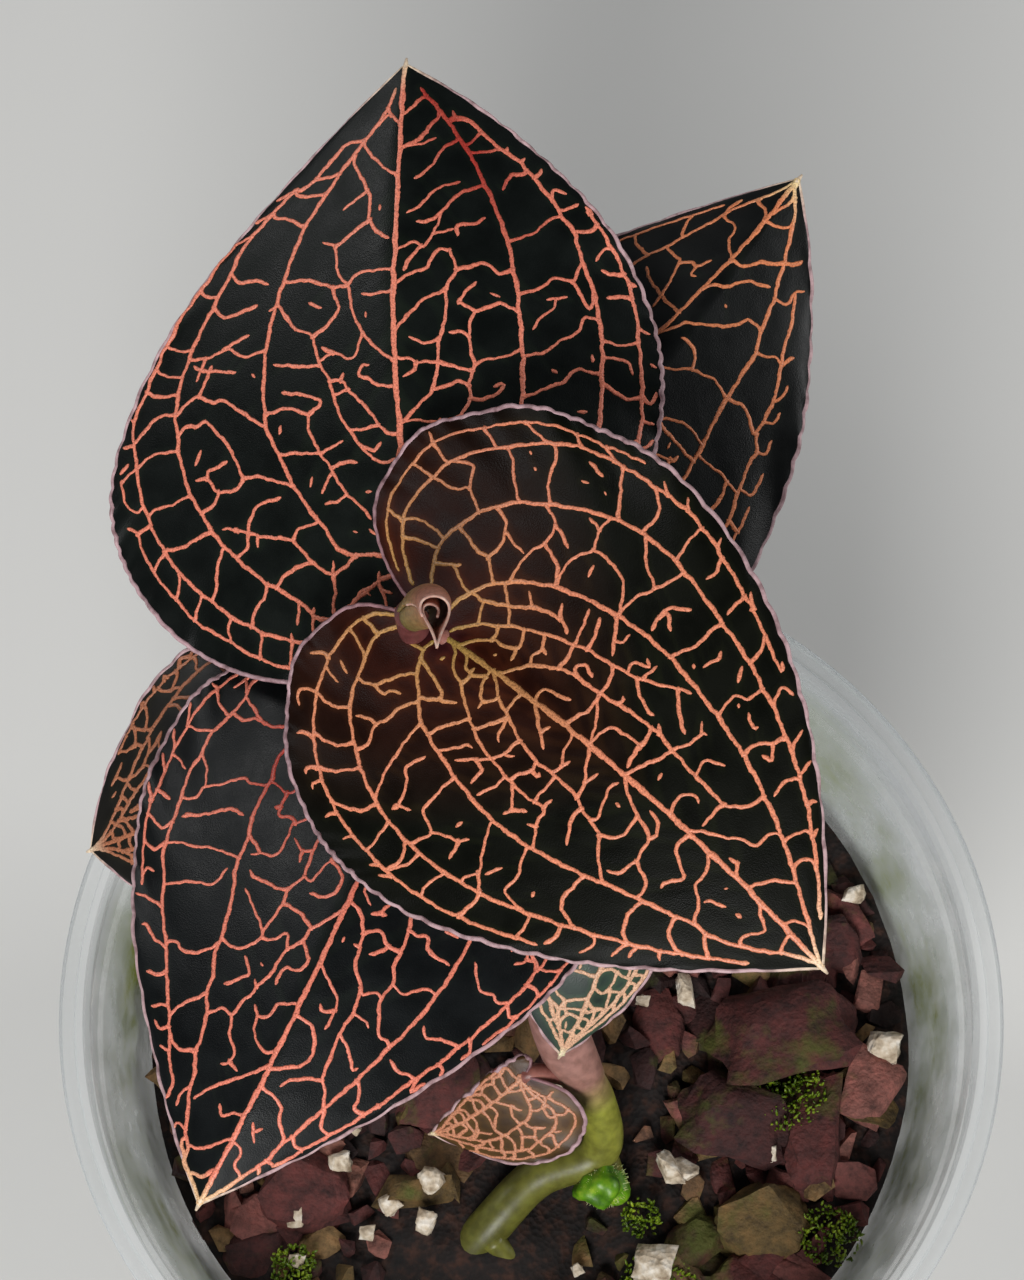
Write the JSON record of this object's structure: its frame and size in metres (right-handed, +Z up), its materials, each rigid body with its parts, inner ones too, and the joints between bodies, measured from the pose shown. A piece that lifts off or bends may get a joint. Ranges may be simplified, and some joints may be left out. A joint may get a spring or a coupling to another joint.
{
  "type": "jewel orchid in a pot",
  "caption": "Jewel orchid with heart-shaped, net-veined dark leaves on a leaning stem, rooted in bark mix in a clear plastic pot.",
  "frame": {"origin": "centre of the pot's flat base, on the surface that the pot stands on", "axes": "+Z up the pot's axis, -Y towards the plant's front, +X to the right as seen from the front"},
  "size_m": [0.117, 0.1544, 0.1662],
  "materials": {
    "clear_plastic": "clear, glossy, a little clouded",
    "bark_mix": "rough, damp",
    "stem": "smooth, fleshy, satin",
    "young_leaf": "satin",
    "leaf": "velvety, with a fine sparkle"
  },
  "bodies": {
    "root": {"pot": "clear_plastic", "bark_mix": "bark_mix", "stem": "stem", "young_leaf": "young_leaf", "leaf_1_front": "leaf", "leaf_2_back_left": "leaf", "leaf_3_back_right": "leaf", "leaf_4_front_left": "leaf", "leaf_5_far_left": "leaf", "leaf_6_low_right": "leaf", "leaf_7_lowest": "leaf"}
  },
  "joints": []
}
